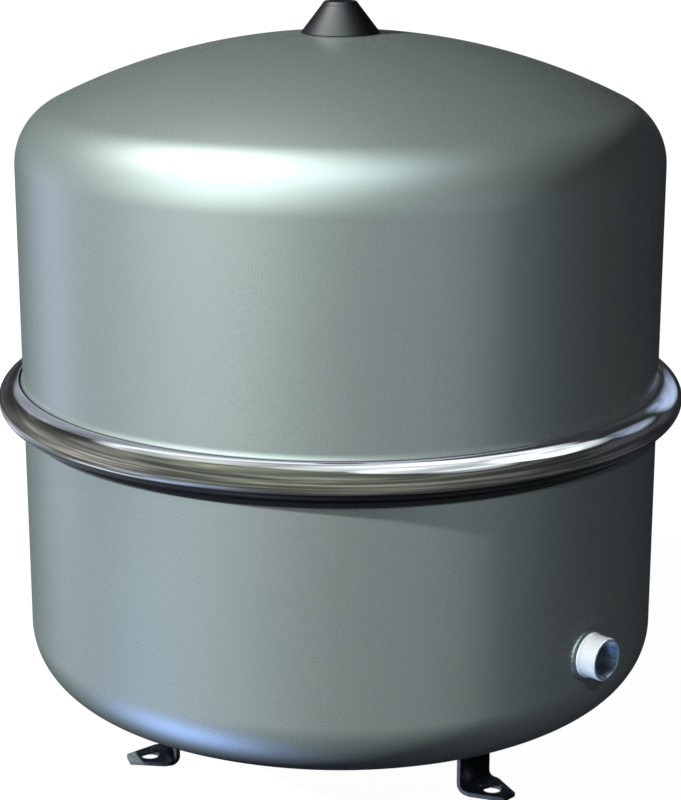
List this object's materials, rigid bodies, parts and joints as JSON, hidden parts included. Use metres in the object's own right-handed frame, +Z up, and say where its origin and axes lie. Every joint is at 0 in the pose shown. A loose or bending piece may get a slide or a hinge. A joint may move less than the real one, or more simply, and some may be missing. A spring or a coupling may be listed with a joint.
{
  "type": "expansion tank",
  "caption": "Floor-standing diaphragm expansion tank: two dished steel shells in a bright clamp ring, side water port, gas valve under a conical cover, bent strip feet.",
  "frame": {"origin": "on the tank's axis, at the floor under its three feet", "axes": "+Z up along the tank's axis, +X along the water port and over the first foot"},
  "size_m": [0.437, 0.437, 0.4906],
  "materials": {
    "tank_paint": "satin grey enamel on pressed steel",
    "ring_chrome": "bright polished",
    "diaphragm_rubber": "matt moulded",
    "zinc_plate": "bright zinc plate",
    "valve_brass": "turned",
    "core_steel": "bright drawn wire and rod",
    "seal_rubber": "smooth moulded",
    "cap_plastic": "moulded with grip grooves",
    "cover_plastic": "semi-gloss moulded"
  },
  "bodies": {
    "tank": {"upper_shell": "tank_paint", "lower_shell": "tank_paint", "clamp_ring": "ring_chrome", "diaphragm": "diaphragm_rubber", "port_spigot": "zinc_plate", "spigot_weld": "tank_paint", "valve_boss": "zinc_plate", "boss_weld": "tank_paint", "valve_stem": "valve_brass", "stem_oring": "seal_rubber", "core_body": "valve_brass", "core_gasket": "seal_rubber", "core_spring": "core_steel", "foot_1": "tank_paint", "foot_2": "tank_paint", "foot_3": "tank_paint", "foot_weld_1": "tank_paint", "foot_weld_2": "tank_paint", "foot_weld_3": "tank_paint"},
    "cover": {"valve_cover": "cover_plastic"},
    "stem_cap": {"dust_cap": "cap_plastic", "dust_cap_seal": "seal_rubber"},
    "valve_pin": {"core_pin": "core_steel", "core_cup": "valve_brass", "core_seat_seal": "seal_rubber"}
  },
  "joints": [
    {"name": "valve_cover_lift", "type": "slide", "parent": "tank", "child": "cover", "axis": [0, 0, 1], "range_m": [0, 0.06]},
    {"name": "dust_cap_lift", "type": "slide", "parent": "tank", "child": "stem_cap", "axis": [0, 0, 1], "range_m": [0, 0.03]},
    {"name": "valve_pin_press", "type": "slide", "parent": "tank", "child": "valve_pin", "axis": [0, 0, -1], "range_m": [0, 0.001], "stiffness_N_per_m": 800, "springref_m": -0.002, "deforming": ["core_spring"]}
  ],
  "couplings": [
    {"joint": "dust_cap_lift", "follows": "valve_cover_lift", "ratio": 0.5}
  ]
}
